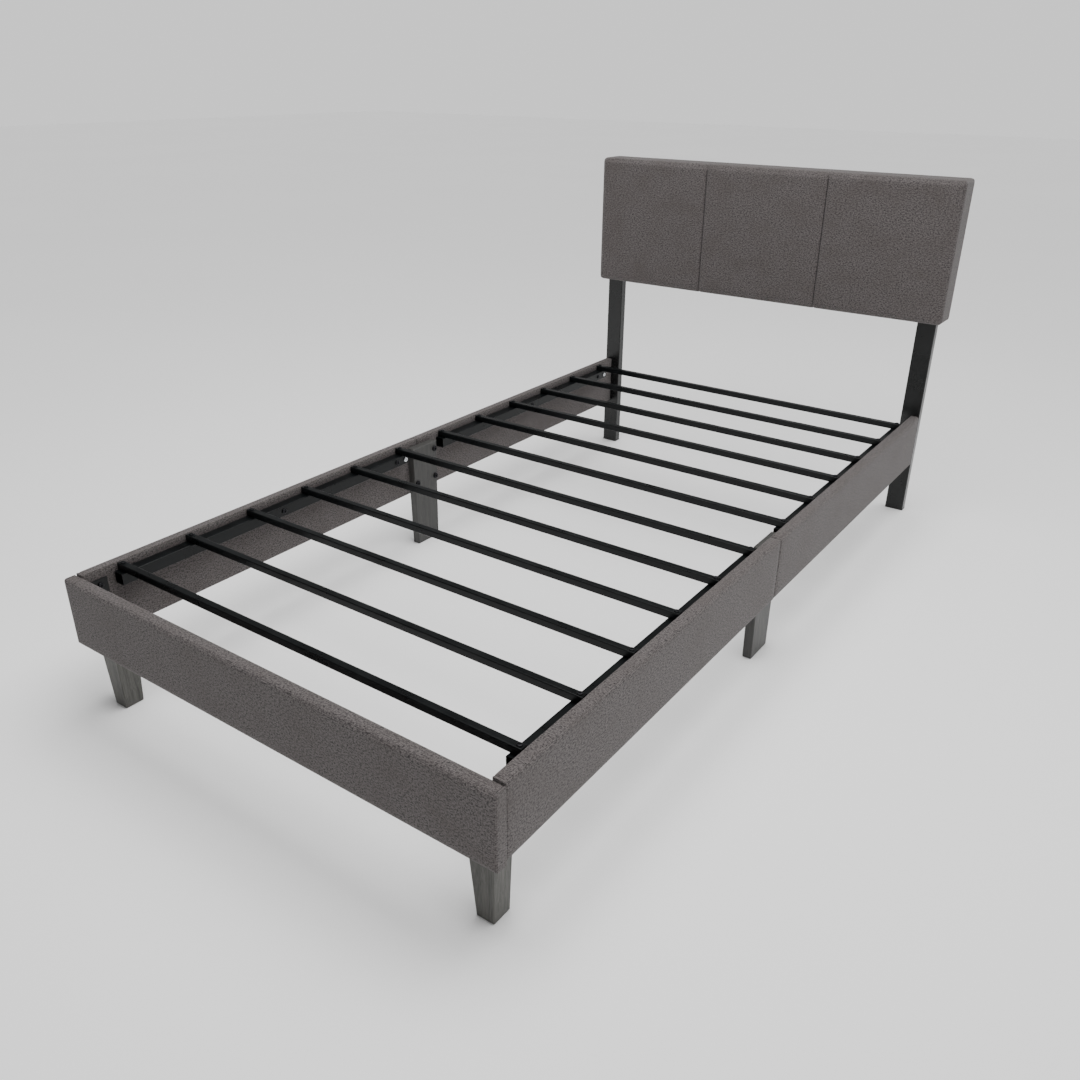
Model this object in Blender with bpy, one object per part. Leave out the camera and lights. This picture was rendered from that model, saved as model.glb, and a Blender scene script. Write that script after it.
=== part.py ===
"""Upholstered twin bed frame with steel slats, in metres, +Z up.

The bed stands on z = 0 with its origin under the middle of its outline. X runs
across the bed, -Y is the foot and +Y the headboard. Positions along the bed are
given from the outer face of the footboard and moved by FOOT_Y when used.
"""

import math

import bpy
import bmesh
from mathutils import Vector

# Gap left between touching pieces.
GAP = 0.0003

# Whole bed.
LENGTH = 1.986
FOOT_Y = -LENGTH / 2

# Upholstered boards: a wooden core in a fabric cover.
COVER_WALL = 0.0024
SOFT_ROUNDING = 0.0070
CRISP_ROUNDING = 0.0032
TURNED_EDGE = 0.0045
FOOTBOARD_WIDTH = 1.040
FOOTBOARD_THICKNESS = 0.025
FOOTBOARD_Z = (0.140, 0.283)
RAIL_INNER_X = 0.4945
RAIL_OUTER_X = 0.5180
RAIL_Z = (0.143, 0.288)
RAIL_JOINT_Y = 0.968
RAIL_END_Y = 1.9367

# Headboard, from its front face backwards.
HEADBOARD_WIDTH = 1.070
HEADBOARD_Z = (0.550, 0.916)
HEADBOARD_Y = (1.902, 1.986)
HEADBOARD_ROUNDING = 0.012
FOAM_THICKNESS = 0.014
PANEL_THICKNESS = 0.0175
FRAME_BAR = 0.030
UPRIGHT_WIDTH = 0.012
BACK_PANEL_THICKNESS = 0.003
ACCESS_HOLE_RADIUS = 0.011

# Steel tubes.
SLAT_SIZE = 0.015
SLAT_WALL = 0.0012
SLAT_HALF_LENGTH = 0.4915
SLATS_PER_HALF = 6
SLAT_PITCH = 0.1575
FIRST_SLAT_Y = (0.1045, 1.0585)
SUPPORT_SIZE = 0.025
SUPPORT_WALL = 0.0015
SUPPORT_TOP_Z = 0.2705
SUPPORT_OVERHANG = 0.015
TUBE_ROUNDING = 0.0018
CORNER_STEPS = 3

# Rear posts.
POST_WIDTH = 0.050
POST_DEPTH = 0.025
POST_WALL = 0.0015
POST_OUTER_X = 0.5165
POST_FRONT_Y = 1.937
POST_TOP_Z = 0.860
PLUG_FLANGE = 0.003
PLUG_HEIGHT = 0.018

# Middle legs, flat and a little narrower at the floor.
MIDDLE_LEG_THICKNESS = 0.021
MIDDLE_LEG_TOP_Z = 0.272
MIDDLE_LEG_TOP_WIDTH = 0.092
MIDDLE_LEG_FOOT_WIDTH = 0.080
MIDDLE_LEG_Y = 0.976

# Front legs: two faces upright, two tapered.
FRONT_LEG_TOP_Z = 0.200
FRONT_LEG_TAPER_Z = 0.120
FRONT_LEG_TOP = 0.048
FRONT_LEG_FOOT = (0.035, 0.040)

# Corner brackets between the front legs and the boards.
BRACKET_FLANGE = 0.046
BRACKET_THICKNESS = 0.0030
BRACKET_Z = (0.160, 0.268)

# Bolts.
SHANK_RADIUS = 0.004
HEAD_RADIUS = 0.0078
HEAD_HEIGHT = 0.0045
HOLE_RADIUS = 0.0046
BOLT_SIDES = 12
RAIL_BOLT_Z = (0.180, 0.250)
RAIL_BOLT_LENGTH = 0.068
HEADBOARD_BOLT_Z = (0.640, 0.800)
HEADBOARD_BOLT_LENGTH = 0.040
LEG_BOLT_Y = (0.942, 1.012)
LEG_BOLT_Z = (0.175, 0.252)
LEG_BOLT_LENGTH = 0.036

SIDES = {"left": -1, "right": 1}


def clear_scene():
    for obj in list(bpy.data.objects):
        bpy.data.objects.remove(obj, do_unlink=True)


def make_material(name, colour, roughness, metallic=0.0):
    material = bpy.data.materials.new(name)
    material.use_nodes = True
    shader = material.node_tree.nodes["Principled BSDF"]
    shader.inputs["Base Color"].default_value = (*colour, 1.0)
    shader.inputs["Roughness"].default_value = roughness
    shader.inputs["Metallic"].default_value = metallic
    return material


def make_materials():
    return {
        "linen": make_material("grey_linen", (0.115, 0.105, 0.105), 0.95),
        "steel": make_material("black_steel", (0.018, 0.019, 0.020), 0.40, 0.3),
        "leg_wood": make_material("grey_stained_wood", (0.075, 0.074, 0.070), 0.55),
        "leg_paint": make_material("black_painted_wood", (0.040, 0.040, 0.038), 0.45),
        "board": make_material("raw_board", (0.420, 0.290, 0.170), 0.80),
        "foam": make_material("foam", (0.780, 0.720, 0.520), 1.00),
        "backing": make_material("black_hardboard", (0.015, 0.015, 0.015), 0.90),
        "plastic": make_material("black_plastic", (0.020, 0.020, 0.020), 0.50),
        "bolt": make_material("black_oxide_steel", (0.030, 0.030, 0.030), 0.35, 0.9),
    }


def link_mesh(name, mesh_builder, location, material):
    """Turns a bmesh into an object of that name, placed by its location."""
    mesh = bpy.data.meshes.new(name)
    mesh_builder.to_mesh(mesh)
    mesh_builder.free()
    obj = bpy.data.objects.new(name, mesh)
    obj.location = location
    if material is not None:
        mesh.materials.append(material)
    bpy.context.scene.collection.objects.link(obj)
    return obj


def box_mesh(size):
    builder = bmesh.new()
    bmesh.ops.create_cube(builder, size=1.0)
    bmesh.ops.scale(builder, vec=size, verts=builder.verts)
    return builder


def box(name, low, high, material=None):
    low, high = Vector(low), Vector(high)
    return link_mesh(name, box_mesh(high - low), (low + high) / 2, material)


def runs_back(edge):
    """Whether an edge runs front to back."""
    return abs(edge.verts[0].co.y - edge.verts[1].co.y) > 0.001


def on_front(edge):
    """Whether an edge lies on the front face."""
    return all(vert.co.y < 0 for vert in edge.verts)


def rounded_box(name, low, high, radius, chosen, material=None):
    """A box with the edges that chosen picks rounded off."""
    low, high = Vector(low), Vector(high)
    builder = box_mesh(high - low)
    edges = [edge for edge in builder.edges if chosen(edge)]
    bmesh.ops.bevel(
        builder, geom=edges, offset=radius, segments=4, profile=0.5, affect="EDGES",
        clamp_overlap=False,
    )
    obj = link_mesh(name, builder, (low + high) / 2, material)
    return shade_round(obj)


def shade_round(obj):
    """Smooth shading, with a hard edge where faces meet steeply."""
    obj.data.shade_smooth()
    obj.data.set_sharp_from_angle(angle=math.radians(35))
    return obj


def bevel(obj, width, segments):
    modifier = obj.modifiers.new("rounding", "BEVEL")
    modifier.width = width
    modifier.segments = segments
    modifier.limit_method = "ANGLE"
    modifier.angle_limit = math.radians(40)


def cut(obj, cutter):
    """Takes the cutter's shape out of the object."""
    cutter.hide_render = True
    cutter.display_type = "WIRE"
    modifier = obj.modifiers.new(cutter.name, "BOOLEAN")
    modifier.operation = "DIFFERENCE"
    modifier.object = cutter


def drill(obj, name, start, end, radius):
    """Cuts a round hole with the given ends of its axis."""
    start, end = Vector(start), Vector(end)
    builder = bmesh.new()
    bmesh.ops.create_cone(
        builder, cap_ends=True, segments=BOLT_SIDES, radius1=radius, radius2=radius,
        depth=(end - start).length,
    )
    cutter = link_mesh(name, builder, (start + end) / 2, None)
    cutter.rotation_euler = (end - start).to_track_quat("Z", "Y").to_euler()
    cut(obj, cutter)


def rounded_outline(builder, width, height, radius, z):
    """Adds one loop of points round a rectangle with rounded corners, at height z."""
    points = []
    for corner in range(4):
        start = corner * math.pi / 2
        centre_x = math.copysign(width / 2 - radius, math.cos(start + math.pi / 4))
        centre_y = math.copysign(height / 2 - radius, math.sin(start + math.pi / 4))
        for step in range(CORNER_STEPS + 1):
            angle = start + step * math.pi / 2 / CORNER_STEPS
            x = centre_x + radius * math.cos(angle)
            y = centre_y + radius * math.sin(angle)
            points.append(builder.verts.new((x, y, z)))
    return points


def tube_mesh(width, height, wall, length):
    """A rectangular tube along Z, open at both ends."""
    builder = bmesh.new()
    bore = (width - 2 * wall, height - 2 * wall, TUBE_ROUNDING - wall / 2)
    loops = [
        rounded_outline(builder, width, height, TUBE_ROUNDING, -length / 2),
        rounded_outline(builder, width, height, TUBE_ROUNDING, length / 2),
        rounded_outline(builder, *bore, length / 2),
        rounded_outline(builder, *bore, -length / 2),
    ]
    for near, far in zip(loops, loops[1:] + loops[:1]):
        for i in range(len(near)):
            builder.faces.new((near[i - 1], near[i], far[i], far[i - 1]))
    bmesh.ops.recalc_face_normals(builder, faces=builder.faces)
    return builder


def turned_mesh(profile, sides):
    """Turns a profile of (radius, z) points about Z into a closed solid."""
    builder = bmesh.new()
    verts = [builder.verts.new((radius, 0, z)) for radius, z in profile]
    edges = [builder.edges.new(pair) for pair in zip(verts, verts[1:])]
    bmesh.ops.spin(
        builder, geom=verts + edges, cent=(0, 0, 0), axis=(0, 0, 1),
        angle=2 * math.pi, steps=sides, use_merge=True,
    )
    bmesh.ops.remove_doubles(builder, verts=builder.verts, dist=0.00001)
    bmesh.ops.recalc_face_normals(builder, faces=builder.faces)
    return builder


def along(y):
    """World Y of a place measured from the footboard's outer face."""
    return FOOT_Y + y


def make_bolt(name, seat, direction, length, material):
    """A pan head bolt: its head rests on seat and its shank runs along direction."""
    profile = (
        (0, -HEAD_HEIGHT),
        (HEAD_RADIUS * 0.7, -HEAD_HEIGHT),
        (HEAD_RADIUS, -HEAD_HEIGHT / 2),
        (HEAD_RADIUS, -GAP),
        (SHANK_RADIUS, -GAP),
        (SHANK_RADIUS, length),
        (0, length),
    )
    bolt = link_mesh(name, turned_mesh(profile, BOLT_SIDES), seat, material)
    bolt.rotation_euler = Vector(direction).to_track_quat("Z", "Y").to_euler()
    shade_round(bolt)


def wrapped_block(name, low, high, soft, shrink, material=None):
    """A block whose soft face has wide rounded edges and the rest crisp ones.

    Soft is the axis and sign of that face, and shrink how far the block lies inside
    the board's outside.
    """
    low = Vector(low) + Vector((shrink, shrink, shrink))
    high = Vector(high) - Vector((shrink, shrink, shrink))
    axis, sign = soft
    reach = (high - low)[axis] / 2
    builder = box_mesh(high - low)
    rounds = ((sign, SOFT_ROUNDING - shrink, 3), (-sign, CRISP_ROUNDING - shrink, 2))
    for side, radius, segments in rounds:
        edges = [
            edge for edge in builder.edges
            if all(abs(vert.co[axis] - side * reach) < 0.00001 for vert in edge.verts)
        ]
        bmesh.ops.bevel(
            builder, geom=edges, offset=radius, segments=segments, profile=0.5,
            affect="EDGES", clamp_overlap=False,
        )
    return shade_round(link_mesh(name, builder, (low + high) / 2, material))


def make_board(name, low, high, soft, materials):
    """A wooden core and the fabric cover that wraps it, slit along the underside."""
    cover = wrapped_block(f"{name}_cover", low, high, soft, 0, materials["linen"])
    cut(cover, wrapped_block(f"{name}_hollow", low, high, soft, COVER_WALL))
    slit_low, slit_high = Vector(low), Vector(high)
    for axis in range(2):
        slit_low[axis] += COVER_WALL + TURNED_EDGE
        slit_high[axis] -= COVER_WALL + TURNED_EDGE
    slit_low.z -= 0.01
    slit_high.z = slit_low.z + 0.02
    cut(cover, box(f"{name}_slit", slit_low, slit_high))
    core = wrapped_block(f"{name}_core", low, high, soft, COVER_WALL + GAP, materials["board"])
    return cover, core


def make_footboard(materials):
    half = FOOTBOARD_WIDTH / 2
    low = (-half, along(0), FOOTBOARD_Z[0])
    high = (half, along(FOOTBOARD_THICKNESS), FOOTBOARD_Z[1])
    make_board("footboard", low, high, (1, -1), materials)


def make_rails(materials):
    """Two boards on each side, meeting at the middle leg."""
    halves = {
        "front": (FOOTBOARD_THICKNESS + GAP, RAIL_JOINT_Y - GAP),
        "rear": (RAIL_JOINT_Y + GAP, RAIL_END_Y),
    }
    for side, sign in SIDES.items():
        x_low, x_high = sorted((sign * RAIL_INNER_X, sign * RAIL_OUTER_X))
        for half, (start, end) in halves.items():
            name = f"rail_{side}_{half}"
            low = (x_low, along(start), RAIL_Z[0])
            high = (x_high, along(end), RAIL_Z[1])
            pieces = make_board(name, low, high, (0, sign), materials)
            leg_bolt_y = LEG_BOLT_Y[0] if half == "front" else LEG_BOLT_Y[1]
            for piece in pieces:
                for i, z in enumerate(LEG_BOLT_Z):
                    start_point = (sign * (RAIL_INNER_X - 0.002), along(leg_bolt_y), z)
                    end_point = (sign * (RAIL_OUTER_X - 0.004), along(leg_bolt_y), z)
                    hole = f"{piece.name}_leg_hole_{i}"
                    drill(piece, hole, start_point, end_point, HOLE_RADIUS)
                if half == "rear":
                    drill_rail_end(piece, sign)


def drill_rail_end(piece, sign):
    """Holes for the two bolts that come through the rear post."""
    x = sign * (RAIL_INNER_X + RAIL_OUTER_X) / 2
    tip = POST_FRONT_Y + POST_DEPTH - RAIL_BOLT_LENGTH - 0.002
    for i, z in enumerate(RAIL_BOLT_Z):
        start_point = (x, along(tip), z)
        end_point = (x, along(RAIL_END_Y + 0.002), z)
        drill(piece, f"{piece.name}_end_hole_{i}", start_point, end_point, HOLE_RADIUS)


def slat_rows():
    """Y of every slat, foot to head."""
    return [start + i * SLAT_PITCH for start in FIRST_SLAT_Y for i in range(SLATS_PER_HALF)]


def make_slats(materials):
    z = SUPPORT_TOP_Z + GAP + SLAT_SIZE / 2
    for number, y in enumerate(slat_rows(), start=1):
        builder = tube_mesh(SLAT_SIZE, SLAT_SIZE, SLAT_WALL, 2 * SLAT_HALF_LENGTH)
        slat = link_mesh(f"slat_{number:02d}", builder, (0, along(y), z), materials["steel"])
        slat.rotation_euler = (0, math.pi / 2, 0)
        shade_round(slat)


def make_support_tubes(materials):
    """The tubes on the rails' inner faces that carry the slats."""
    span = (SLATS_PER_HALF - 1) * SLAT_PITCH
    length = span + 2 * SUPPORT_OVERHANG
    z = SUPPORT_TOP_Z - SUPPORT_SIZE / 2
    for side, sign in SIDES.items():
        x = sign * (RAIL_INNER_X - GAP - SUPPORT_SIZE / 2)
        for half, start in zip(("front", "rear"), FIRST_SLAT_Y):
            builder = tube_mesh(SUPPORT_SIZE, SUPPORT_SIZE, SUPPORT_WALL, length)
            place = (x, along(start + span / 2), z)
            tube = link_mesh(f"support_tube_{side}_{half}", builder, place, materials["steel"])
            tube.rotation_euler = (math.pi / 2, 0, 0)
            shade_round(tube)


def make_middle_legs(materials):
    """Flat legs over the joint of the rails, each held by four bolts."""
    inner_x = RAIL_INNER_X - GAP - MIDDLE_LEG_THICKNESS
    for side, sign in SIDES.items():
        size = Vector((MIDDLE_LEG_THICKNESS, MIDDLE_LEG_TOP_WIDTH, MIDDLE_LEG_TOP_Z))
        builder = box_mesh(size)
        foot = [vert for vert in builder.verts if vert.co.z < 0]
        narrowing = MIDDLE_LEG_FOOT_WIDTH / MIDDLE_LEG_TOP_WIDTH
        bmesh.ops.scale(builder, vec=(1, narrowing, 1), verts=foot)
        place = (
            sign * (inner_x + MIDDLE_LEG_THICKNESS / 2),
            along(MIDDLE_LEG_Y),
            MIDDLE_LEG_TOP_Z / 2,
        )
        leg = link_mesh(f"middle_leg_{side}", builder, place, materials["leg_paint"])
        bevel(leg, 0.0015, 1)
        rows = [(y, z) for y in LEG_BOLT_Y for z in LEG_BOLT_Z]
        for i, (y, z) in enumerate(rows, start=1):
            seat = Vector((sign * inner_x, along(y), z))
            inward = Vector((sign, 0, 0))
            deep = inward * (MIDDLE_LEG_THICKNESS + 0.002)
            drill(leg, f"middle_leg_{side}_hole_{i}", seat - inward * 0.002, seat + deep, HOLE_RADIUS)
            name = f"middle_leg_bolt_{side}_{i}"
            make_bolt(name, seat, inward, LEG_BOLT_LENGTH, materials["bolt"])


def front_leg_mesh():
    """Upright on its +X and -Y faces, tapered on the other two below the boards."""
    top = FRONT_LEG_TOP
    builder = box_mesh((top, top, FRONT_LEG_TOP_Z))
    bmesh.ops.translate(builder, vec=(-top / 2, top / 2, FRONT_LEG_TOP_Z / 2), verts=builder.verts)
    bmesh.ops.bisect_plane(
        builder, geom=builder.verts[:] + builder.edges[:] + builder.faces[:],
        plane_co=(0, 0, FRONT_LEG_TAPER_Z), plane_no=(0, 0, 1),
    )
    foot = [vert for vert in builder.verts if vert.co.z < 0.001]
    shrink = (FRONT_LEG_FOOT[0] / top, FRONT_LEG_FOOT[1] / top, 1)
    bmesh.ops.scale(builder, vec=shrink, verts=foot)
    return builder


def make_front_legs(materials):
    """Tapered corner legs inside the footboard's corners."""
    clear = BRACKET_THICKNESS + 2 * GAP
    front_y = along(FOOTBOARD_THICKNESS + clear)
    outer_x = RAIL_INNER_X - clear
    corners = {"left": -outer_x + FRONT_LEG_TOP, "right": outer_x}
    for side, x in corners.items():
        leg = link_mesh(f"front_leg_{side}", front_leg_mesh(), (x, front_y, 0), materials["leg_wood"])
        bevel(leg, 0.0015, 1)


def make_front_brackets(materials):
    """Steel angles that join the footboard, the rails and the front legs."""
    inner_y = along(FOOTBOARD_THICKNESS + GAP)
    for side, sign in SIDES.items():
        outer_x = RAIL_INNER_X - GAP
        x_low, x_high = sorted((sign * outer_x, sign * (outer_x - BRACKET_FLANGE)))
        low = (x_low, inner_y, BRACKET_Z[0])
        high = (x_high, inner_y + BRACKET_FLANGE, BRACKET_Z[1])
        bracket = box(f"front_bracket_{side}", low, high, materials["steel"])
        hollow_x = sorted((sign * (outer_x - BRACKET_THICKNESS), sign * (outer_x - 0.1)))
        hollow_low = (hollow_x[0], inner_y + BRACKET_THICKNESS, BRACKET_Z[0] - 0.01)
        hollow_high = (hollow_x[1], inner_y + 0.1, BRACKET_Z[1] + 0.01)
        cut(bracket, box(f"front_bracket_{side}_hollow", hollow_low, hollow_high))


def make_rear_posts(materials):
    """Steel posts that carry the rails and the headboard."""
    centre_y = POST_FRONT_Y + POST_DEPTH / 2
    rear_y = POST_FRONT_Y + POST_DEPTH
    rail_x = (RAIL_INNER_X + RAIL_OUTER_X) / 2
    for side, sign in SIDES.items():
        x = sign * (POST_OUTER_X - POST_WIDTH / 2)
        bottom = PLUG_FLANGE + GAP
        length = POST_TOP_Z - bottom
        builder = tube_mesh(POST_WIDTH, POST_DEPTH, POST_WALL, length)
        place = (x, along(centre_y), bottom + length / 2)
        post = link_mesh(f"rear_post_{side}", builder, place, materials["steel"])
        shade_round(post)
        make_foot_plug(side, x, centre_y, materials)
        bolts = [("rail_bolt", sign * rail_x, z, RAIL_BOLT_LENGTH) for z in RAIL_BOLT_Z]
        bolts += [("headboard_bolt", x, z, HEADBOARD_BOLT_LENGTH) for z in HEADBOARD_BOLT_Z]
        for i, (kind, bolt_x, z, bolt_length) in enumerate(bolts):
            start = (bolt_x, along(POST_FRONT_Y - 0.002), z)
            end = (bolt_x, along(rear_y + 0.002), z)
            drill(post, f"rear_post_{side}_hole_{i}", start, end, HOLE_RADIUS)
            name = f"{kind}_{side}_{i % 2 + 1}"
            seat = (bolt_x, along(rear_y), z)
            make_bolt(name, seat, (0, -1, 0), bolt_length, materials["bolt"])


def make_foot_plug(side, x, centre_y, materials):
    """A plastic plug with a flange under the post and a body inside it."""
    half_width = POST_WIDTH / 2
    half_depth = POST_DEPTH / 2
    low = (x - half_width, along(centre_y - half_depth), 0)
    high = (x + half_width, along(centre_y + half_depth), PLUG_FLANGE)
    plug = box(f"post_foot_plug_{side}", low, high, materials["plastic"])
    mesh = bmesh.new()
    mesh.from_mesh(plug.data)
    top = [face for face in mesh.faces if face.normal.z > 0.9]
    inset = POST_WALL + 0.0006
    bmesh.ops.inset_region(mesh, faces=top, thickness=inset, use_even_offset=True)
    raised = bmesh.ops.extrude_face_region(mesh, geom=top)
    verts = [item for item in raised["geom"] if isinstance(item, bmesh.types.BMVert)]
    bmesh.ops.translate(mesh, vec=(0, 0, PLUG_HEIGHT), verts=verts)
    bmesh.ops.delete(mesh, geom=top, context="FACES_ONLY")
    mesh.to_mesh(plug.data)
    mesh.free()


def make_headboard(materials):
    """Fabric cover, foam, panel, frame bars and back panel, front to back."""
    half = HEADBOARD_WIDTH / 2
    front, rear = (along(y) for y in HEADBOARD_Y)
    bottom, top = HEADBOARD_Z
    wall = COVER_WALL
    radius = HEADBOARD_ROUNDING
    low, high = (-half, front, bottom), (half, rear, top)
    cover = rounded_box("headboard_cover", low, high, radius, outer_edge, materials["linen"])
    hollow_low = (-half + wall, front + wall, bottom + wall)
    hollow_high = (half - wall, rear + 0.1, top - wall)
    cut(cover, rounded_box("headboard_hollow", hollow_low, hollow_high, radius - wall, outer_edge))
    cut_post_slots(cover, bottom)
    inset = wall + GAP
    radius -= inset
    x, z_low, z_high = half - inset, bottom + inset, top - inset
    y = front + inset
    low, high = (-x, y, z_low), (x, y + FOAM_THICKNESS, z_high)
    rounded_box("headboard_foam", low, high, radius, outer_edge, materials["foam"])
    y += FOAM_THICKNESS + GAP
    low, high = (-x, y, z_low), (x, y + PANEL_THICKNESS, z_high)
    panel = rounded_box("headboard_panel", low, high, radius, runs_back, materials["board"])
    drill_headboard(panel, y - 0.002, y + PANEL_THICKNESS + 0.002, HOLE_RADIUS)
    y += PANEL_THICKNESS + GAP
    back_y = rear - wall - BACK_PANEL_THICKNESS
    make_headboard_bars(x, (y, back_y - GAP), (z_low, z_high), radius, materials)
    low, high = (-x, back_y, z_low), (x, rear - wall, z_high)
    back = rounded_box("headboard_back", low, high, radius, runs_back, materials["backing"])
    drill_headboard(back, back_y - 0.002, rear, ACCESS_HOLE_RADIUS)


def outer_edge(edge):
    """Whether an edge shows from the front: all but those round the back."""
    return runs_back(edge) or on_front(edge)


def post_box(name, sign, clearance, z_low, z_high):
    """A box round one post, for slots that the post passes through."""
    outer = sign * (POST_OUTER_X + clearance)
    inner = sign * (POST_OUTER_X - POST_WIDTH - clearance)
    x_low, x_high = sorted((outer, inner))
    low = (x_low, along(POST_FRONT_Y - clearance), z_low)
    high = (x_high, along(POST_FRONT_Y + POST_DEPTH + clearance), z_high)
    return box(name, low, high)


def cut_post_slots(piece, z):
    for side, sign in SIDES.items():
        slot = post_box(f"{piece.name}_slot_{side}", sign, 0.0006, z - 0.02, z + 0.05)
        cut(piece, slot)


def drill_headboard(piece, start_y, end_y, radius):
    """Holes for the headboard bolts, four in all."""
    x = POST_OUTER_X - POST_WIDTH / 2
    rows = [(sign * x, z) for sign in SIDES.values() for z in HEADBOARD_BOLT_Z]
    for i, (bolt_x, z) in enumerate(rows):
        drill(piece, f"{piece.name}_hole_{i}", (bolt_x, start_y, z), (bolt_x, end_y, z), radius)


def make_headboard_bars(x, y, z, radius, materials):
    """Two long bars and two short uprights behind the panel."""
    wood = materials["board"]
    low, high = (-x, y[0], z[0]), (x, y[1], z[0] + FRAME_BAR)
    bottom = rounded_box("headboard_bar_bottom", low, high, radius, runs_back_below, wood)
    cut_post_slots(bottom, z[0])
    low, high = (-x, y[0], z[1] - FRAME_BAR), (x, y[1], z[1])
    rounded_box("headboard_bar_top", low, high, radius, runs_back_above, wood)
    inner_low, inner_high = z[0] + FRAME_BAR + GAP, z[1] - FRAME_BAR - GAP
    for side, sign in SIDES.items():
        x_low, x_high = sorted((sign * x, sign * (x - UPRIGHT_WIDTH)))
        low, high = (x_low, y[0], inner_low), (x_high, y[1], inner_high)
        box(f"headboard_upright_{side}", low, high, wood)


def runs_back_below(edge):
    """Whether an edge is one of the lower two that run front to back."""
    return runs_back(edge) and edge.verts[0].co.z < 0


def runs_back_above(edge):
    """Whether an edge is one of the upper two that run front to back."""
    return runs_back(edge) and edge.verts[0].co.z > 0


def main():
    clear_scene()
    materials = make_materials()
    make_footboard(materials)
    make_rails(materials)
    make_support_tubes(materials)
    make_slats(materials)
    make_middle_legs(materials)
    make_front_legs(materials)
    make_front_brackets(materials)
    make_rear_posts(materials)
    make_headboard(materials)


main()
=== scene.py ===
import logging
import math
from dataclasses import dataclass, field
from enum import Enum
from typing import Any, Callable, Iterable, Sequence

import bmesh
import bpy
from mathutils import Matrix, Vector


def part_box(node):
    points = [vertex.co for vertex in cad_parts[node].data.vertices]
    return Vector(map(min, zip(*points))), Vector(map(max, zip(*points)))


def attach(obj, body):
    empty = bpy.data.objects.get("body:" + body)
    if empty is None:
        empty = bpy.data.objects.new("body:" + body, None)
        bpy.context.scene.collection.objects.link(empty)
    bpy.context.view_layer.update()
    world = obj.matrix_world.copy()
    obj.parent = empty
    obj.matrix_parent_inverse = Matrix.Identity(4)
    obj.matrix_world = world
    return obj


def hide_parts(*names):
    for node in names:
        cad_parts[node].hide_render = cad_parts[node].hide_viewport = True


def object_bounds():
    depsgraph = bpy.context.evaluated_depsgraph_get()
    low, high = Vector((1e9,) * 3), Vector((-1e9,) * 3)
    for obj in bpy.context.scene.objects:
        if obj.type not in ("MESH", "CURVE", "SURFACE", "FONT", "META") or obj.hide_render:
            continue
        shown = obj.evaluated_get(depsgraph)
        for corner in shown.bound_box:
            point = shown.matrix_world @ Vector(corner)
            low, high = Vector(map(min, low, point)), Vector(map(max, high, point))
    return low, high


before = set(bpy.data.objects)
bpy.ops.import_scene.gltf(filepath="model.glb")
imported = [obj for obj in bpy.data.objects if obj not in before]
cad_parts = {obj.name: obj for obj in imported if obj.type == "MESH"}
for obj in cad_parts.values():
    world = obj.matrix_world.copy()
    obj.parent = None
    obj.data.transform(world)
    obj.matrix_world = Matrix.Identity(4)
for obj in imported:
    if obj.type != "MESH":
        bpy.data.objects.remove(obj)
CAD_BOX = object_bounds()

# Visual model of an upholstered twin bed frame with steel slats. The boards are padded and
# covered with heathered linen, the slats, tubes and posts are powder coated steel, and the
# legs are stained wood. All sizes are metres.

Object = bpy.types.Object
Material = bpy.types.Material
Tree = bpy.types.NodeTree
Node = bpy.types.Node
Socket = bpy.types.NodeSocket
Size = tuple[float, float, float]

LOG = logging.getLogger("bed")
BODY = "root"
MM = 0.001
SIDES = (("left", -1), ("right", 1))
SAME = 1e-5  # Places nearer than this count as one.
PRESSURE = 4.0  # How hard the wadding presses on the cloth.
FRAMES = 20  # Steps in which it swells.
FACTOR, FIRST, SECOND, MIXED = 0, 6, 7, 2  # Colour sockets of a mix node.


# --- Small helpers -----------------------------------------------------------


def srgb(code: str) -> tuple[float, float, float, float]:
    """Turns an sRGB hex colour into a linear one.

    Args:
        code: Six hex digits.

    Returns:
        Linear red, green, blue and an alpha of one.
    """
    values = (int(code[i : i + 2], 16) / 255 for i in (0, 2, 4))
    red, green, blue = (v / 12.92 if v <= 0.04045 else ((v + 0.055) / 1.055) ** 2.4 for v in values)
    return red, green, blue, 1.0


def evenly(size: float) -> Size:
    """The same size along X, Y and Z."""
    return size, size, size


def share_of(value: float) -> float:
    """The value, kept between zero and one."""
    return min(1.0, max(0.0, value))


def span(low: float, high: float, to: Sequence[float] = (0, 1)) -> dict[str, float]:
    """Inputs that stretch the range from low to high over another one."""
    return {"From Min": low, "From Max": high, "To Min": to[0], "To Max": to[1]}


def connect(tree: Tree, node: Node, inputs: dict[Any, Any]) -> None:
    """Sets a node's inputs, each to a constant or to a link.

    Args:
        tree: The node tree.
        node: The node.
        inputs: The constant or the socket for each input, by name or number.
    """
    for key, value in inputs.items():
        if isinstance(value, Socket):
            tree.links.new(value, node.inputs[key])
        else:
            node.inputs[key].default_value = value


def add_node(
    tree: Tree,
    kind: str,
    inputs: dict[Any, Any] | None = None,
    output: int | str = 0,
    **settings: Any,
) -> Socket:
    """Adds a node with its settings, constants and links.

    Args:
        tree: The node tree.
        kind: The node's type.
        inputs: The constant or the socket for each input, by name or number.
        output: The output to hand back, by name or number.
        settings: Attributes to set on the node.

    Returns:
        The output's socket.
    """
    node = tree.nodes.new(kind)
    for key, value in settings.items():
        setattr(node, key, value)
    connect(tree, node, inputs or {})
    return node.outputs[output]


def new_material(name: str, values: dict[str, Any]) -> tuple[Material, Tree, Node]:
    """Makes a material whose Principled shader has the given constants.

    Args:
        name: The material's name.
        values: Constants of the shader's sockets.

    Returns:
        The material, its node tree and its Principled shader.
    """
    material = bpy.data.materials.new(name)
    material.use_nodes = True
    tree = material.node_tree
    shader = tree.nodes["Principled BSDF"]
    connect(tree, shader, values)
    return material, tree, shader


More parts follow.
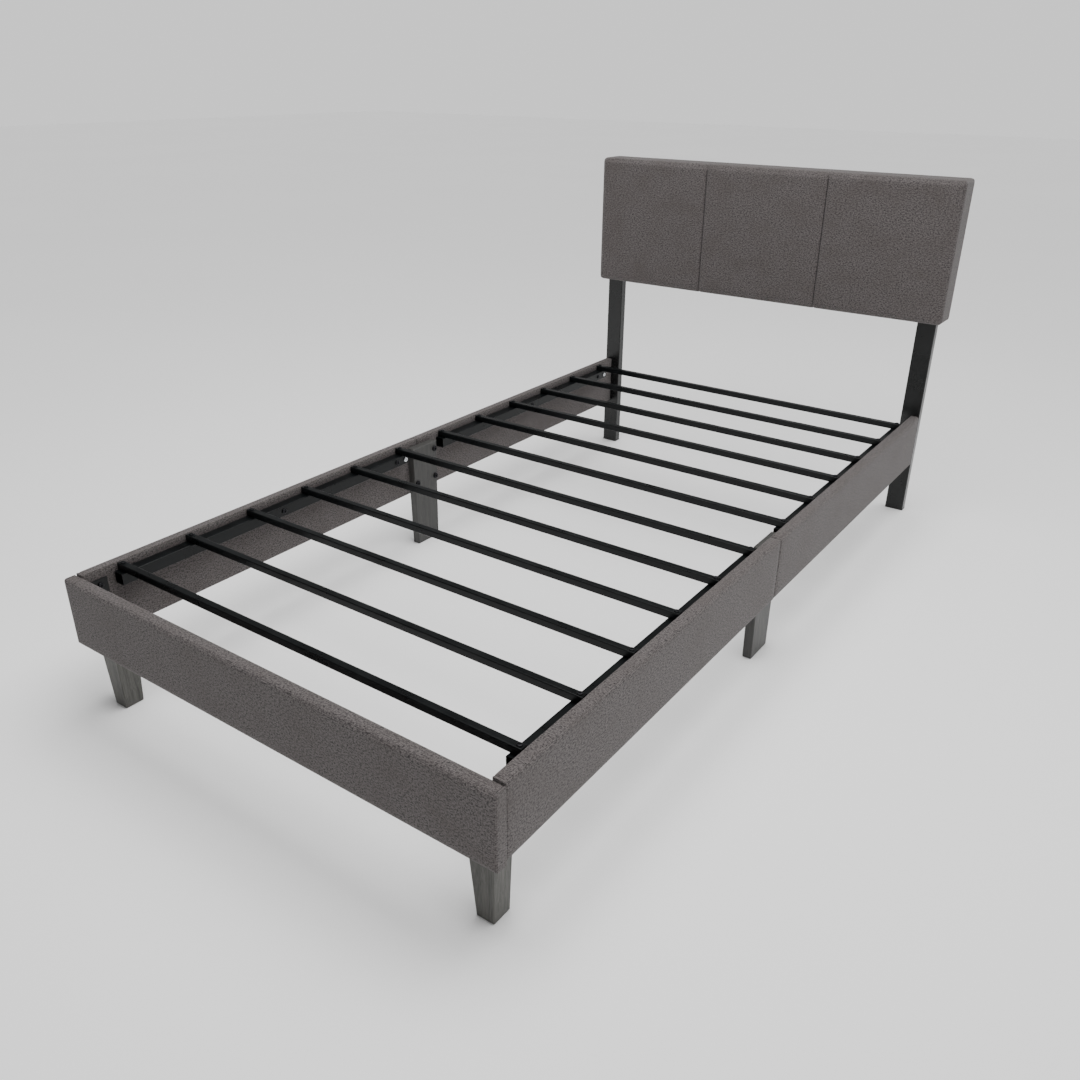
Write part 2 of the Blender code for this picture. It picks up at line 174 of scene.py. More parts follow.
def lay_colours(
    tree: Tree, base: str, layers: Sequence[tuple[Socket, dict[str, float] | None, str]]
) -> Socket:
    """Lays colours over a base, each as strongly as its own pattern says.

    Args:
        tree: The node tree.
        base: The lowest colour.
        layers: For each colour its pattern, the limits that stretch the pattern, and the colour.

    Returns:
        The resulting colour's socket.
    """
    colour: Any = srgb(base)
    for share, limits, over in layers:
        if limits:
            share = add_node(tree, "ShaderNodeMapRange", {"Value": share, **limits})
        inputs = {FACTOR: share, FIRST: colour, SECOND: srgb(over)}
        colour = add_node(tree, "ShaderNodeMix", inputs, MIXED, data_type="RGBA")
    return colour


@dataclass(frozen=True)
class Pattern:
    """Irregular blotches of a real size.

    Attributes:
        size: Their size along X, Y and Z.
        detail: Octaves.
        rough: Strength of the finer octaves.
    """

    size: Size
    detail: float = 2.0
    rough: float = 0.5

    def build(self, tree: Tree, place: Socket) -> Socket:
        """Builds the pattern.

        Args:
            tree: The node tree.
            place: Coordinates in metres.

        Returns:
            The socket of its value, from zero to one.
        """
        scale = tuple(1 / length for length in self.size)
        scaled = add_node(tree, "ShaderNodeMapping", {"Vector": place, "Scale": scale})
        inputs = {"Vector": scaled, "Scale": 1.0, "Detail": self.detail, "Roughness": self.rough}
        return add_node(tree, "ShaderNodeTexNoise", inputs)


# --- Finishes ----------------------------------------------------------------


@dataclass(frozen=True)
class HeatheredLinen:
    """Polyester upholstery linen: matte plain weave of dark and light grey yarn.

    The thread pitch is drawn at about three times the real 0.7 mm so that it shows.

    Attributes:
        dark: The dark yarn.
        light: The light yarn.
        warm: A warmer tone in slow clouds.
        pitch: Distance from thread to thread.
        across: Thick and thin places of the threads that run across.
        along: Thick and thin places of the threads that run up.
        speck: Single pale fibres.
        cloud: The clouds.
    """

    dark: str = "252324"
    light: str = "706a69"
    warm: str = "524b48"
    pitch: float = 2.2 * MM
    across: Pattern = Pattern((6.0 * MM, 2.1 * MM, 1.0), 2.0, 0.6)
    along: Pattern = Pattern((2.4 * MM, 3.6 * MM, 1.0), 2.0, 0.6)
    speck: Pattern = Pattern((3.6 * MM, 2.5 * MM, 1.0), 3.0, 0.65)
    cloud: Pattern = Pattern((90 * MM, 70 * MM, 1.0), 3.0, 0.55)

    def build(self) -> Material:
        """Builds the cloth from its own UV map, which is in metres.

        Returns:
            The material.
        """
        values = {"Roughness": 0.92, "Specular IOR Level": 0.25}
        sheen = {"Sheen Weight": 0.12, "Sheen Roughness": 0.5}
        material, tree, shader = new_material("heathered_linen_weave", values | sheen)
        place = add_node(tree, "ShaderNodeUVMap", uv_map="cloth")
        bands = {"Vector": place, "Scale": math.pi / 10 / self.pitch}
        wander = {"Distortion": 0.6, "Detail": 1.0, "Detail Scale": 2.0}
        threads = {}
        for number, way in enumerate(("X", "Y")):
            settings = {"wave_type": "BANDS", "bands_direction": way}
            threads[number] = add_node(tree, "ShaderNodeTexWave", bands | wander, "Fac", **settings)
        speck = self.speck.build(tree, place)
        slubs = {0: self.across.build(tree, place), 1: self.along.build(tree, place)}
        slub = add_node(tree, "ShaderNodeMath", slubs, operation="MULTIPLY")
        layers = (
            (slub, span(0.17, 0.31), self.light),
            (speck, span(0.44, 0.60, (0, 0.6)), self.light),
            (self.cloud.build(tree, place), span(0.42, 0.70, (0, 0.35)), self.warm),
        )
        yarn = lay_colours(tree, self.dark, layers)
        weave = add_node(tree, "ShaderNodeMath", threads, operation="MULTIPLY")
        shaded = {"Value": weave, **span(0.0, 0.6, (0.65, 1.03))}
        shade = add_node(tree, "ShaderNodeMapRange", shaded)
        grey = add_node(tree, "ShaderNodeCombineColor", {0: shade, 1: shade, 2: shade})
        inputs = {FACTOR: 1.0, FIRST: yarn, SECOND: grey}
        settings = {"data_type": "RGBA", "blend_type": "MULTIPLY"}
        colour = add_node(tree, "ShaderNodeMix", inputs, MIXED, **settings)
        height = add_node(tree, "ShaderNodeMath", {0: weave, 1: speck}, operation="ADD")
        relief = {"Height": height, "Strength": 0.30, "Distance": 0.30 * MM}
        bump = add_node(tree, "ShaderNodeBump", relief)
        connect(tree, shader, {"Base Color": colour, "Normal": bump})
        return material


@dataclass(frozen=True)
class PowderCoat:
    """Satin black powder coat on steel: a fine orange peel that blurs highlights."""

    name: str = "satin_black_powder_coat"
    colour: str = "07090a"
    worn: str = "0d1011"
    roughness: float = 0.30
    specular: float = 0.20
    smudge: Pattern = Pattern(evenly(60 * MM), 4.0, 0.6)
    peel: Pattern = Pattern(evenly(1.6 * MM))

    def build(self) -> Material:
        """Builds the coat from object coordinates.

        Returns:
            The material.
        """
        material, tree, shader = new_material(self.name, {"Specular IOR Level": self.specular})
        place = add_node(tree, "ShaderNodeTexCoord", output="Object")
        smudge = self.smudge.build(tree, place)
        colour = lay_colours(tree, self.colour, [(smudge, span(0.35, 0.7), self.worn)])
        limits = span(0.3, 0.7, (self.roughness - 0.05, self.roughness + 0.08))
        rough = add_node(tree, "ShaderNodeMapRange", {"Value": smudge, **limits})
        relief = {"Height": self.peel.build(tree, place), "Strength": 0.25, "Distance": 0.08 * MM}
        bump = add_node(tree, "ShaderNodeBump", relief)
        connect(tree, shader, {"Base Color": colour, "Roughness": rough, "Normal": bump})
        return material


@dataclass(frozen=True)
class StainedWood:
    """Rubberwood with a grey stain: open grain that runs up the leg.

    Attributes:
        name: The material's name.
        dark: The stain in the grain.
        light: The stain between the grain.
        roughness: Middle roughness.
        grain: Width of a fibre.
        bend: Blotches that make the grain wander.
        sway: How far it wanders along X, Y and Z.
        ring: Size of the broad growth lines.
    """

    name: str
    dark: str
    light: str
    roughness: float = 0.5
    grain: float = 1.6 * MM
    bend: Pattern = Pattern((30 * MM, 30 * MM, 90 * MM))
    sway: Size = (0.012, 0.012, 0.0)
    ring: Pattern = Pattern((9 * MM, 9 * MM, 260 * MM), 2.0, 0.4)

    def build(self) -> Material:
        """Builds the grain from object coordinates, long along Z.

        Returns:
            The material.
        """
        material, tree, shader = new_material(self.name, {"Specular IOR Level": 0.35})
        place = add_node(tree, "ShaderNodeTexCoord", output="Object")
        inputs = {0: self.bend.build(tree, place), 1: self.sway, 2: place}
        bent = add_node(tree, "ShaderNodeVectorMath", inputs, operation="MULTIPLY_ADD")
        half = self.grain / 2
        fibre = Pattern((self.grain, self.grain, 60 * MM), 5.0, 0.65).build(tree, bent)
        pore = Pattern((half, half, 14 * MM), 3.0, 0.6).build(tree, bent)
        inputs = {0: self.ring.build(tree, bent), 1: 0.6, 2: fibre}
        lines = add_node(tree, "ShaderNodeMath", inputs, operation="MULTIPLY_ADD")
        layers = (
            (lines, span(0.58, 1.0), self.light),
            (pore, span(0.60, 0.78, (0, 0.6)), self.dark),
        )
        colour = lay_colours(tree, self.dark, layers)
        limits = span(0.3, 0.7, (self.roughness + 0.1, self.roughness - 0.05))
        rough = add_node(tree, "ShaderNodeMapRange", {"Value": fibre, **limits})
        relief = {"Height": fibre, "Strength": 0.3, "Distance": 0.2 * MM}
        bump = add_node(tree, "ShaderNodeBump", relief)
        connect(tree, shader, {"Base Color": colour, "Roughness": rough, "Normal": bump})
        return material


@dataclass(frozen=True)
class GrainedFinish:
    """A finish whose colour and relief both follow one fine grain.

    Attributes:
        name: The material's name.
        dark: Colour of the low places.
        light: Colour of the high places.
        roughness: Its roughness.
        grain: The grain.
        limits: Limits that stretch the grain where it mixes the colours.
        relief: Share of the bump.
        height: Height of the grain.
    """

    name: str
    dark: str
    light: str
    roughness: float
    grain: Pattern
    limits: tuple[float, float] | None
    relief: float
    height: float

    def build(self) -> Material:
        """Builds the grain from object coordinates.

        Returns:
            The material.
        """
        material, tree, shader = new_material(self.name, {"Roughness": self.roughness})
        place = add_node(tree, "ShaderNodeTexCoord", output="Object")
        grain = self.grain.build(tree, place)
        limits = span(*self.limits) if self.limits else None
        colour = lay_colours(tree, self.dark, [(grain, limits, self.light)])
        relief = {"Height": grain, "Strength": self.relief, "Distance": self.height}
        bump = add_node(tree, "ShaderNodeBump", relief)
        connect(tree, shader, {"Base Color": colour, "Normal": bump})
        return material


@dataclass(frozen=True)
class Board(GrainedFinish):
    """Particle board or pine, raw: chips of pale and brown wood pressed flat."""

    name: str = "raw_particle_board"
    dark: str = "8a6a48"
    light: str = "c2a27a"
    roughness: float = 0.85
    grain: Pattern = Pattern(evenly(4 * MM), 4.0, 0.7)
    limits: tuple[float, float] | None = (0.35, 0.65)
    relief: float = 0.3
    height: float = 0.3 * MM


@dataclass(frozen=True)
class Foam(GrainedFinish):
    """Cut polyurethane foam: pale, matte and open celled."""

    name: str = "open_cell_foam"
    dark: str = "c9b877"
    light: str = "e6d9a8"
    roughness: float = 1.0
    grain: Pattern = Pattern(evenly(1.5 * MM), 2.0, 0.6)
    limits: tuple[float, float] | None = None
    relief: float = 0.5
    height: float = 0.5 * MM


@dataclass(frozen=True)
class StitchThread(GrainedFinish):
    """Twisted polyester thread, a little darker than the cloth."""

    name: str = "twisted_polyester_thread"
    dark: str = "161515"
    light: str = "2c2a2a"
    roughness: float = 0.7
    grain: Pattern = Pattern((0.5 * MM, 0.5 * MM, 0.9 * MM))
    limits: tuple[float, float] | None = (0.35, 0.65)
    relief: float = 0.3
    height: float = 0.1 * MM


@dataclass(frozen=True)
class MattePlastic(GrainedFinish):
    """Injection moulded black polyethylene with a light spark texture."""

    name: str = "moulded_black_polyethylene"
    dark: str = "161617"
    light: str = "242426"
    roughness: float = 0.55
    grain: Pattern = Pattern(evenly(0.8 * MM), 2.0, 0.6)
    limits: tuple[float, float] | None = None
    relief: float = 0.3
    height: float = 0.05 * MM


@dataclass(frozen=True)
class FeltedSheet:
    """Black non-woven dust cloth over hardboard: matte, with a faint embossed dot."""

    dark: str = "141414"
    light: str = "26262a"
    dot: float = 1.8 * MM
    fluff: Pattern = Pattern(evenly(8 * MM), 4.0, 0.7)

    def build(self) -> Material:
        """Builds the embossed dots from object coordinates.

        Returns:
            The material.
        """
        material, tree, shader = new_material("black_nonwoven_dust_cloth", {"Roughness": 0.95})
        place = add_node(tree, "ShaderNodeTexCoord", output="Object")
        inputs = {"Vector": place, "Scale": 1 / self.dot}
        dots = add_node(tree, "ShaderNodeTexVoronoi", inputs, "Distance")
        edge = add_node(tree, "ShaderNodeMapRange", {"Value": dots, **span(0.2, 0.6)})
        inputs = {0: edge, 1: self.fluff.build(tree, place)}
        mixed = add_node(tree, "ShaderNodeMath", inputs, operation="MULTIPLY")
        colour = lay_colours(tree, self.dark, [(mixed, None, self.light)])
        relief = {"Height": edge, "Strength": 0.4, "Distance": 0.15 * MM}
        bump = add_node(tree, "ShaderNodeBump", relief)
        connect(tree, shader, {"Base Color": colour, "Normal": bump})
        return material


@dataclass(frozen=True)
class PlatedSteel:
    """Screw steel, either black oxide or bright zinc, with fine turning marks."""

    name: str
    dark: str
    light: str
    roughness: float
    metallic: float = 1.0
    patch: Pattern = Pattern(evenly(2.5 * MM), 3.0, 0.6)
    marks: Pattern = Pattern(evenly(0.4 * MM))

    def build(self) -> Material:
        """Builds the plating from object coordinates.

        Returns:
            The material.
        """
        material, tree, shader = new_material(self.name, {"Metallic": self.metallic})
        place = add_node(tree, "ShaderNodeTexCoord", output="Object")
        patch = self.patch.build(tree, place)
        colour = lay_colours(tree, self.dark, [(patch, span(0.3, 0.7), self.light)])
        limits = span(0.3, 0.7, (self.roughness - 0.06, self.roughness + 0.1))
        rough = add_node(tree, "ShaderNodeMapRange", {"Value": patch, **limits})
        relief = {"Height": self.marks.build(tree, place), "Strength": 0.15, "Distance": 0.04 * MM}
        bump = add_node(tree, "ShaderNodeBump", relief)
        connect(tree, shader, {"Base Color": colour, "Roughness": rough, "Normal": bump})
        return material


@dataclass
class Finishes:
    """Every finish of the bed, built once."""

    linen: Material = field(init=False)
    steel: Material = field(init=False)
    post_steel: Material = field(init=False)
    leg_wood: Material = field(init=False)
    leg_paint: Material = field(init=False)
    board: Material = field(init=False)
    foam: Material = field(init=False)
    dust_cloth: Material = field(init=False)
    plastic: Material = field(init=False)
    black_oxide: Material = field(init=False)
    zinc: Material = field(init=False)
    thread: Material = field(init=False)

    def __post_init__(self) -> None:
        """Builds the materials."""
        post = PowderCoat("gloss_black_powder_coat", "0c0d0d", "141515", 0.26, 0.4)
        wood = StainedWood("grey_stained_rubberwood", "353532", "5c5b57", 0.5, 1.1 * MM)
        paint = StainedWood("dark_stained_rubberwood", "333332", "42413f", 0.42, 2.0 * MM)
        self.linen = HeatheredLinen().build()
        self.steel = PowderCoat().build()
        self.post_steel = post.build()
        self.leg_wood = wood.build()
        self.leg_paint = paint.build()
        self.board = Board().build()
        self.foam = Foam().build()
        self.dust_cloth = FeltedSheet().build()
        self.plastic = MattePlastic().build()
        self.black_oxide = PlatedSteel("black_oxide_screw_steel", "1b1b1c", "333336", 0.38).build()
        self.zinc = PlatedSteel("bright_zinc_screw_steel", "b9bcc0", "e2e4e6", 0.22).build()
        self.thread = StitchThread().build()


# --- Mesh tools --------------------------------------------------------------


def pick(obj: Object) -> None:
    """Makes an object the active one and the only selected one.

    Args:
        obj: The object.
    """
    bpy.ops.object.select_all(action="DESELECT")
    obj.select_set(True)
    bpy.context.view_layer.objects.active = obj


def edit(obj: Object) -> None:
    """Enters edit mode with nothing selected.

    Args:
        obj: The object to edit.
    """
    pick(obj)
    bpy.ops.object.mode_set(mode="EDIT")
    bpy.ops.mesh.select_all(action="DESELECT")


def leave() -> None:
    """Leaves edit mode."""
    bpy.ops.object.mode_set(mode="OBJECT")


def select(obj: Object, kind: str, test: Callable[[Any], bool]) -> int:
    """Selects vertices, edges or faces in edit mode.

    Args:
        obj: The object in edit mode.
        kind: "VERT", "EDGE" or "FACE".
        test: Says whether an element is selected.

    Returns:
        How many were selected.
    """
    bpy.ops.mesh.select_mode(type=kind)
    mesh = bmesh.from_edit_mesh(obj.data)
    items = {"VERT": mesh.verts, "EDGE": mesh.edges, "FACE": mesh.faces}[kind]
    chosen = [item for item in items if test(item)]
    for item in chosen:
        item.select_set(True)
    mesh.select_flush_mode()
    bmesh.update_edit_mesh(obj.data)
    return len(chosen)


def add_block(name: str, low: Vector, high: Vector) -> Object:
    """Adds a block between two corners, with its place in its mesh.

    Args:
        name: The object's name.
        low: Lowest corner.
        high: Highest corner.

    Returns:
        The new object, at the origin.
    """
    bpy.ops.object.select_all(action="DESELECT")
    bpy.ops.mesh.primitive_cube_add(size=1.0, location=(low + high) / 2)
    obj = bpy.context.object
    obj.name = name
    obj.data.name = name
    obj.scale = high - low
    bpy.ops.object.transform_apply(location=True, rotation=True, scale=True)
    return obj


def slice_mesh(obj: Object, axis: int, places: Iterable[float]) -> None:
    """Cuts the whole mesh, in edit mode, by planes square to one axis.

    Args:
        obj: The object in edit mode.
        axis: 0, 1 or 2.
        places: Where the planes cross that axis.
    """
    normal = Vector((0, 0, 0))
    normal[axis] = 1
    for place in places:
        bpy.ops.mesh.select_all(action="SELECT")
        bpy.ops.mesh.bisect(plane_co=normal * place, plane_no=normal)


def spread(low: float, high: float, step: float) -> list[float]:
    """Evenly spaced places strictly between two ends, at most a step apart."""
    count = max(1, math.ceil((high - low) / step))
    return [low + (high - low) * i / count for i in range(1, count)]


def map_cloth(obj: Object) -> None:
    """Gives every face flat cloth coordinates in metres, seen along its main direction.

    Args:
        obj: The object.
    """
    mesh = obj.data
    layer = mesh.uv_layers.new(name="cloth")
    planes = {0: (1, 2), 1: (0, 2), 2: (0, 1)}
    for polygon in mesh.polygons:
        normal = polygon.normal
        axis = max(range(3), key=lambda i: abs(normal[i]))
        u, v = planes[axis]
        for loop in polygon.loop_indices:
            place = mesh.vertices[mesh.loops[loop].vertex_index].co
            layer.data[loop].uv = (place[u], place[v])


def apply_modifiers(obj: Object) -> None:
    """Applies all of an object's modifiers.

    Args:
        obj: The object.
    """
    pick(obj)
    for modifier in list(obj.modifiers):
        bpy.ops.object.modifier_apply(modifier=modifier.name)


def subdivide_smoothly(obj: Object, levels: int = 1) -> None:
    """Applies a Catmull-Clark subdivision.

    Args:
        obj: The object.
        levels: Times each face is split.
    """
    modifier = obj.modifiers.new("smooth", "SUBSURF")
    modifier.levels = modifier.render_levels = levels
    apply_modifiers(obj)


def shade(obj: Object, angle: float | None = None) -> None:
    """Shades an object smooth, with hard edges past an angle if one is given.

    Args:
        obj: The object.
        angle: Hard edge angle in degrees, or None for smooth all over.
    """
    pick(obj)
    if angle is None:
        bpy.ops.object.shade_smooth()
    else:
        bpy.ops.object.shade_smooth_by_angle(angle=math.radians(angle))


def finish_piece(
    obj: Object, material: Material, replaced: Sequence[str] = ()
) -> Object:
    """Dresses a piece and hangs it on the bed's body.

    Args:
        obj: The piece.
        material: Its finish.
        replaced: CAD nodes that the piece stands for.

    Returns:
        The piece.
    """
    obj.data.materials.clear()
    obj.data.materials.append(material)
    if replaced:
        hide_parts(*replaced)
    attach(obj, BODY)
    LOG.info("%s: %d faces", obj.name, len(obj.data.polygons))
    return obj


def inflate(obj: Object, cap: float, hold: Callable[[Vector], float]) -> None:
    """Swells a padded form with Blender's cloth, then keeps a capped share of it.

    Cloth that is stapled to a board can't pull in past it, so points only move out.

    Args:
        obj: The closed form. Its mesh is changed.
        cap: Furthest that a point may move.
        hold: Share of the movement that a point keeps, by its place at rest.
    """
    rest = [(vert.co.copy(), vert.normal.copy()) for vert in obj.data.vertices]
    modifier = obj.modifiers.new("padding", "CLOTH")
    settings = modifier.settings
    settings.quality = 4
    settings.use_pressure = True
    settings.uniform_pressure_force = PRESSURE
    settings.effector_weights.gravity = 0.0
    modifier.collision_settings.use_collision = False
    modifier.point_cache.frame_start = 1
    modifier.point_cache.frame_end = FRAMES
    for number in range(1, FRAMES + 1):
        bpy.context.scene.frame_set(number)
    swollen = obj.evaluated_get(bpy.context.evaluated_depsgraph_get())
    moved = [vert.co.copy() for vert in swollen.data.vertices]
    obj.modifiers.remove(modifier)
    bpy.context.scene.frame_set(1)
    for vert, (start, normal), end in zip(obj.data.vertices, rest, moved):
        rise = max(0.0, (end - start).dot(normal))
        vert.co = start + normal * cap * math.tanh(rise / cap) * hold(start)


# --- Upholstery --------------------------------------------------------------


@dataclass
class PaddedBoard:
    """A board wrapped in wadding and linen.

    Attributes:
        name: Name of the piece.
        nodes: CAD nodes that it replaces; the first gives its size.
        soft_side: Axis and sign of the face that shows from outside.
        long_axis: Axis that the board runs along.
        soft_radius: Radius of the outside face's top edge.
        side_radius: Radius of its other edges.
        crisp_radius: Radius of the edges of the face behind it.
        corner_radius: Radius of the four edges that join the two faces.
        swell: Space kept before the outside face for the padding to swell into.
        cap: Furthest that the padding swells.
        step: Size of the faces that bend.
        slack: Space left free on every other side, along X, Y and Z.
        clear: Distance of the first cut from the rounded edge.
        held_under: Height above the underside over which the swelling sets in.
        held_end: Distance from the ends over which it does.
    """

    name: str
    nodes: tuple[str, ...]
    soft_side: tuple[int, int]
    long_axis: int
    soft_radius: float = 5.5 * MM
    side_radius: float = 3.6 * MM
    crisp_radius: float = 1.1 * MM
    corner_radius: float = 1.0 * MM
    swell: float = 1.0 * MM
    cap: float = 1.5 * MM
    step: float = 9 * MM
    slack: Size = (0.15 * MM, 0.15 * MM, 0.7 * MM)
    clear: float = 1 * MM
    held_under: float = 8 * MM
    held_end: float = 10 * MM
    low: Vector = field(init=False)
    high: Vector = field(init=False)

    def __post_init__(self) -> None:
        """Takes the size from the CAD node."""
        self.low, self.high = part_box(self.nodes[0])
        axis, sign = self.soft_side
        for i, slack in enumerate(self.slack):
            self.low[i] += self.swell if (i, -1) == (axis, sign) else slack
            self.high[i] -= self.swell if (i, 1) == (axis, sign) else slack

    def build(self, finishes: Finishes) -> Object:
        """Builds the padded form and dresses it.

        Args:
            finishes: The bed's finishes.

        Returns:
            The finished piece.
        """
        obj = add_block(self.name, self.low, self.high)
        self.round_edges(obj)
        self.divide(obj)
        inflate(obj, self.cap, self.hold)
        self.detail(obj)
        subdivide_smoothly(obj)
        map_cloth(obj)
        shade(obj)
        return finish_piece(obj, finishes.linen, self.nodes)

    def radius_of(self, ends: Sequence[Vector]) -> float:
        """The radius of one of the block's twelve edges.

        Args:
            ends: The edge's two ends.

        Returns:
            The radius.
        """
        axis, sign = self.soft_side
        near, far = (self.high, self.low) if sign > 0 else (self.low, self.high)
        if all(abs(end[axis] - near[axis]) < SAME for end in ends):
            top = all(abs(end.z - self.high.z) < SAME for end in ends)
            return self.soft_radius if top else self.side_radius
        if all(abs(end[axis] - far[axis]) < SAME for end in ends):
            return self.crisp_radius
        return self.corner_radius

    def round_edges(self, obj: Object) -> None:
        """Rounds every edge of the block by its own radius.

        Args:
            obj: The block.
        """
        mesh = obj.data
        places = [vert.co for vert in mesh.vertices]
        radii = [self.radius_of([places[i] for i in edge.vertices]) for edge in mesh.edges]
        widest = max(radii)
        weights = mesh.attributes.new("bevel_weight_edge", "FLOAT", "EDGE")
        weights.data.foreach_set("value", [radius / widest for radius in radii])
        modifier = obj.modifiers.new("rounding", "BEVEL")
        modifier.width = widest
        modifier.segments = 4
        modifier.limit_method = "WEIGHT"
        apply_modifiers(obj)

    def cuts(self, axis: int) -> list[float]:
        """Where the form is cut by planes square to an axis.

        Args:
            axis: 0, 1 or 2.

        Returns:
            Where the planes cross the axis.
        """
        edge = self.soft_radius + self.clear
        low, high = self.low[axis] + edge, self.high[axis] - edge
        if high <= low:
            return []
        return [low, *spread(low, high, self.step), high]

    def divide(self, obj: Object) -> None:
        """Cuts the form into small faces that can bend.

        Args:
            obj: The form.
        """
        edit(obj)
        for axis in range(3):
            slice_mesh(obj, axis, self.cuts(axis))
        leave()

    def hold(self, place: Vector) -> float:
        """Keeps the swelling all over but for the underside and the ends.

        Args:
            place: A point at rest.

        Returns:
            Share of its movement that the point keeps.
        """
        under = (place.z - self.low.z) / self.held_under
        along = self.long_axis
        end = min(place[along] - self.low[along], self.high[along] - place[along])
        return share_of(under) * share_of(end / self.held_end)

    def detail(self, obj: Object) -> None:
        """A plain padded board has no further detail."""


@dataclass
class FoldedBoard(PaddedBoard):
    """A padded board whose cloth is folded at its ends like the end of a parcel.

    Attributes:
        fold: Distance of the fold's edge from the board's end.
        fold_half: Half the width of the line that the fold's edge draws.
        fold_depth: How deep that line is.
        fold_zone: How far below the top the line reaches.
    """

    fold: float = 4.6 * MM
    fold_half: float = 0.9 * MM
    fold_depth: float = 2.3 * MM
    fold_zone: float = 3 * MM

    def fold_places(self) -> tuple[float, float]:
        """Where the two folds lie along the board."""
        axis = self.long_axis
        return self.low[axis] + self.fold, self.high[axis] - self.fold

    def cuts(self, axis: int) -> list[float]:
        """Adds narrow rows of faces beside the folds.

        Args:
            axis: 0, 1 or 2.

        Returns:
            Where the planes cross the axis.
        """
        places = super().cuts(axis)
        if axis != self.long_axis:
            return places
        folds = self.fold_places()
        kept = [p for p in places if all(abs(p - f) > 3 * self.fold_half for f in folds)]
        return sorted(kept + [f + d * self.fold_half for f in folds for d in (-1, 0, 1)])

    def detail(self, obj: Object) -> None:
        """Presses the edge of each fold into the top.

        Args:
            obj: The form.
        """
        folds = self.fold_places()
        for vert in obj.data.vertices:
            away = min(abs(vert.co[self.long_axis] - f) for f in folds)
            if vert.co.z > self.high.z - self.fold_zone and away < self.fold_half / 2:
                vert.co.z -= self.fold_depth


@dataclass
class Headboard(PaddedBoard):
    """The padded headboard: three sewn panels on the front and a recess at the back.

    Attributes:
        seams: X of the two seams.
        seam_half: Half the width of a seam's groove.
        seam_depth: How deep the groove is pressed.
        rim: Width of the cloth that is turned onto the back.
        lips: Two narrow steps inwards that keep the rim's edge crisp.
        recess: The last step, down to the back panel.
        flat_back: Depth from the back over which the swelling sets in.
        front: Depth of the part that the seams pull in.
        seam_reach: How far from a seam the front is pulled in.
        seam_hold: Share of the swelling that is left on a seam.
        groove_end: How far back the groove runs over the top and the underside.
        groove_width: Half width of the groove's slopes, in seam_half.
        turned: Share of the half height past which the groove turns over the edge.
        turn: How far the groove goes in there, along Y and along Z.
    """

    seams: tuple[float, float] = (-0.180, 0.180)
    seam_half: float = 1.1 * MM
    seam_depth: float = 5.0 * MM
    rim: float = 30 * MM
    lips: tuple[float, float] = (0.5 * MM, 2 * MM)
    recess: float = 30 * MM
    flat_back: float = 12 * MM
    front: float = 20 * MM
    seam_reach: float = 30 * MM
    seam_hold: float = 0.25
    groove_end: float = 16 * MM
    groove_width: float = 1.6
    turned: float = 0.9
    turn: tuple[float, float] = (0.7, 0.55)

    def cuts(self, axis: int) -> list[float]:
        """Adds rows of faces beside the seams and along the rim of the back.

        Args:
            axis: 0, 1 or 2.

        Returns:
            Where the planes cross the axis.
        """
        places = super().cuts(axis)
        special: list[float] = []
        if axis == 0:
            special = [s + d * self.seam_half for s in self.seams for d in (-3, -1, 0, 1, 3)]
            special += [self.low.x + self.rim, self.high.x - self.rim]
        if axis == 2:
            special = [self.low.z + self.rim, self.high.z - self.rim]
        kept = [p for p in places if all(abs(p - s) > 4 * MM for s in special)]
        return sorted(kept + special)

    def hold(self, place: Vector) -> float:
        """Keeps the back flat, and lets the seams pull the front in.

        Args:
            place: A point at rest.

        Returns:
            Share of its movement that the point keeps.
        """
        depth = share_of((self.high.y - place.y) / self.flat_back)
        if place.y >= self.low.y + self.front:
            return depth
        seam = share_of(min(abs(place.x - s) for s in self.seams) / self.seam_reach)
        return depth * (self.seam_hold + (1 - self.seam_hold) * math.sin(seam * math.pi / 2))

    def near_seam(self, place: Vector) -> float:
        """How deep a point lies in a seam's groove on the front, top or underside.

        Args:
            place: A point.

        Returns:
            One on the seam, falling to nothing beside it.
        """
        if place.y > self.low.y + self.groove_end:
            return 0.0
        away = min(abs(place.x - s) for s in self.seams)
        return max(0.0, 1 - away / (self.groove_width * self.seam_half))

    def detail(self, obj: Object) -> None:
        """Sinks the seams and opens the recess at the back.

        Args:
            obj: The form.
        """
        middle = (self.low.z + self.high.z) / 2
        half = (self.high.z - self.low.z) / 2
        for vert in obj.data.vertices:
            share = self.near_seam(vert.co)
            if share:
                inward = Vector((0, 1, 0))
                rise = (vert.co.z - middle) / half
                if abs(rise) > self.turned:
                    inward = Vector((0, self.turn[0], -math.copysign(self.turn[1], rise)))
                vert.co += inward * self.seam_depth * share
        self.open_back(obj)

    def open_back(self, obj: Object) -> None:
        """Sinks the back inside the turned rim, so that the back panel shows.

        Args:
            obj: The form.
        """
        x_limit = self.high.x - self.rim + self.clear
        z_low = self.low.z + self.rim - self.clear
        z_high = self.high.z - self.rim + self.clear

        def inside(face: Any) -> bool:
            """Whether a face of the back lies inside the rim."""
            centre = face.calc_center_median()
            return face.normal.y > 0.7 and abs(centre.x) < x_limit and z_low < centre.z < z_high

        edit(obj)
        select(obj, "FACE", inside)
        for depth in (*self.lips, self.recess):
            bpy.ops.mesh.extrude_region_move(TRANSFORM_OT_translate={"value": (0, -depth, 0)})
        leave()


